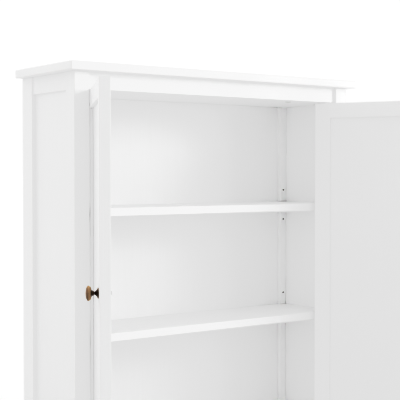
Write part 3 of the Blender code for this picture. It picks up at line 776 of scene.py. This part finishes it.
# Door bumper. A soft moulded rubber dome glued under the ceiling board, which the right door comes to
# rest against. The rubber is pale grey and matt, with a dusty bloom in patches 1.5 mm wide.
BUMPER_TURN, BUMPER_STEPS = 11, 9
rubber = bpy.data.materials.new("moulded_rubber")
rubber.use_nodes = True
tree = rubber.node_tree
place = add(tree, "ShaderNodeTexCoord").outputs["Object"]
bloom = add(
    tree, "ShaderNodeTexNoise", {"Vector": place, "Scale": 1 / 0.0015, "Detail": 2.0}
).outputs["Fac"]
dusty = add(
    tree, "ShaderNodeMix", {0: bloom, 6: linear("C0C0BF"), 7: linear("D0D0CF")}, data_type="RGBA"
).outputs[2]
tree.links.new(dusty, tree.nodes["Principled BSDF"].inputs["Base Color"])
tree.nodes["Principled BSDF"].inputs["Roughness"].default_value = 0.7
low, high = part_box("door_bumper")
wide, deep = (high.x - low.x) / 2, high.z - low.z
bumper = turned("door_bumper_finished", [
    (wide * math.cos(turn), -deep * math.sin(turn))
    for turn in [math.radians(BUMPER_TURN * step) for step in range(BUMPER_STEPS)]
], steps=32)
bumper.matrix_world = Matrix.Translation(((low.x + high.x) / 2, (low.y + high.y) / 2, high.z))
bpy.ops.object.select_all(action="DESELECT")
bumper.select_set(True)
bpy.ops.object.transform_apply(location=True, rotation=True, scale=True)
bpy.ops.object.shade_smooth_by_angle(angle=TURNED_SHARP_FROM)
bumper.data.materials.append(rubber)
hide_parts("door_bumper")
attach(bumper, "carcass")

# Studio. A pale floor that ends behind the cabinet, and a white room that is brighter behind and above.
# One broad soft box stands at the right front, and the camera stands low at the left front.
BACKDROP_WAY = (0.20, 0.84, 0.50)
ROOM_DIMMEST, ROOM_BRIGHTEST = 0.48, 1.09
TONE_CURVE = (
    (0.10, 0.10), (0.20, 0.33), (0.32, 0.65), (0.46, 0.73),
    (0.60, 0.775), (0.69, 0.84), (0.79, 0.905), (0.90, 0.935),
)
bpy.ops.object.select_all(action="DESELECT")
bpy.ops.mesh.primitive_plane_add(size=5.0, location=(0.0, -1.7, 0.0))
floor = bpy.context.object
floor.name = "studio_floor"
paper = bpy.data.materials.new("matt_studio_paper")
paper.use_nodes = True
tree = paper.node_tree
place = add(tree, "ShaderNodeTexCoord").outputs["Object"]
tone = add(tree, "ShaderNodeTexNoise", {"Vector": place, "Scale": 1.0, "Detail": 2.0}).outputs["Fac"]
shade = add(
    tree, "ShaderNodeMix", {0: tone, 6: linear("CACACA"), 7: linear("C6C6C6")}, data_type="RGBA"
).outputs[2]
tree.links.new(shade, tree.nodes["Principled BSDF"].inputs["Base Color"])
tree.nodes["Principled BSDF"].inputs["Roughness"].default_value = 0.9
floor.data.materials.append(paper)

scene = bpy.context.scene
scene.world = bpy.data.worlds.new("white_room")
scene.world.use_nodes = True
tree = scene.world.node_tree
way = add(tree, "ShaderNodeTexCoord").outputs["Generated"]
towards_backdrop = add(
    tree, "ShaderNodeVectorMath", {0: way, 1: BACKDROP_WAY}, operation="DOT_PRODUCT"
).outputs["Value"]
brightness = add(
    tree, "ShaderNodeMapRange",
    {"Value": towards_backdrop, "From Min": -1.0, "To Min": ROOM_DIMMEST, "To Max": ROOM_BRIGHTEST},
).outputs["Result"]
tree.links.new(brightness, tree.nodes["Background"].inputs["Strength"])
tree.nodes["Background"].inputs["Color"].default_value = (1.0, 1.0, 1.0, 1.0)
scene.view_settings.view_transform = "Standard"
tone = scene.view_settings.curve_mapping
scene.view_settings.use_curve_mapping = True
for grey, printed in TONE_CURVE:
    tone.curves[3].points.new(grey, printed)
tone.update()


def soft_box(name, place, aim, size, power):
    """A square soft box at a place, turned to face the aim."""
    lamp = bpy.data.lights.new(name, "AREA")
    lamp.size = size
    lamp.energy = power
    made = bpy.data.objects.new(name, lamp)
    scene.collection.objects.link(made)
    made.location = place
    made.rotation_euler = (Vector(aim) - Vector(place)).to_track_quat("-Z", "Y").to_euler()


soft_box("key_soft_box", (4.15, -4.45, 2.1), (0.0, 0.0, 0.7), 2.8, 144.0)

lens = bpy.data.cameras.new("camera")
lens.sensor_width = 36.0
lens.lens = 91.7
camera = bpy.data.objects.new("camera", lens)
scene.collection.objects.link(camera)
camera.location = (-1.4670, -1.8890, 0.7620)
camera.rotation_euler = (math.radians(90.0 - 1.50), 0.0, math.radians(-36.21))
scene.camera = camera
